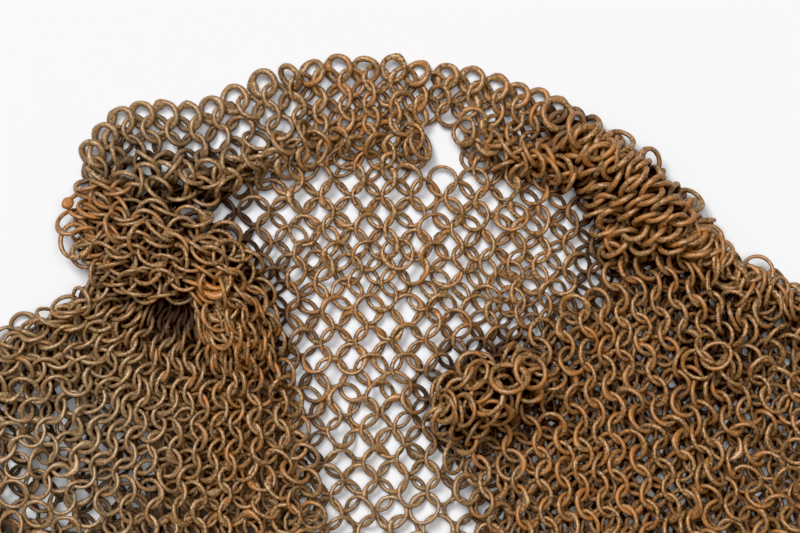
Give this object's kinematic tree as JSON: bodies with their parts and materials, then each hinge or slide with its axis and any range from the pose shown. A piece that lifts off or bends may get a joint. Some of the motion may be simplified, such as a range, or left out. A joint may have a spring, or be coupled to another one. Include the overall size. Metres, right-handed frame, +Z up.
{
  "type": "chainmail hauberk",
  "caption": "Mail hauberk of linked riveted iron rings, laid out flat on its back, with a slit neck, a collar that has fallen open, wide elbow sleeves and a flared hem.",
  "frame": {"origin": "on the surface that the garment lies on, under the middle of its box", "axes": "+X towards the sleeve that lies on the right seen from above, +Y from the hem to the collar, +Z up out of the front"},
  "size_m": [0.884, 0.756, 0.0289],
  "materials": {
    "mail": "riveted iron rings, browned and oiled, half glossy, with orange rust in patches"
  },
  "bodies": {
    "root": {"back": "mail", "front": "mail", "sleeve_left": "mail", "sleeve_right": "mail", "collar_back": "mail", "collar_left": "mail", "collar_right": "mail"}
  },
  "joints": []
}
